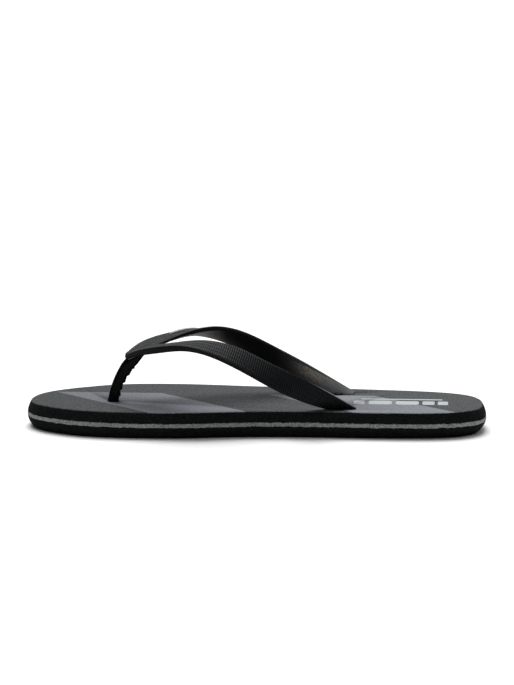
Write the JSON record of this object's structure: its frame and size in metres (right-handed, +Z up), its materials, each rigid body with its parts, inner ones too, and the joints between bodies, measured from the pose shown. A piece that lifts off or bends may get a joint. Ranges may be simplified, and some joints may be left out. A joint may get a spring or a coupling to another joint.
{
  "type": "flip flop sandal",
  "caption": "Right-foot flip flop: laminated foam sole with a contrast stripe, printed footbed film, textured Y-shaped rubber strap and ribbed toe post.",
  "frame": {"origin": "on the ground, under the middle of the sole's bounding box", "axes": "+X from toe to heel, +Y towards the outer side of a right foot, +Z up"},
  "size_m": [0.2722, 0.1022, 0.0565],
  "materials": {
    "black_foam": "die-cut closed-cell foam, matte, fine cut grain",
    "grey_foam": "die-cut closed-cell foam, matte, slightly ragged edges",
    "footbed_print": "printed film with fine pebble grain, two-tone grey diagonal colour blocks",
    "strap_rubber": "moulded soft PVC, fine diamond knurl on the face, smooth below",
    "post_rubber": "moulded soft PVC, satin",
    "badge_silver": "silver-painted raised bar"
  },
  "bodies": {
    "root": {"outsole": "black_foam", "stripe_layer": "grey_foam", "top_layer": "black_foam", "footbed_film": "footbed_print", "strap": "strap_rubber", "toe_post": "post_rubber", "strap_badge": "badge_silver"}
  },
  "joints": []
}
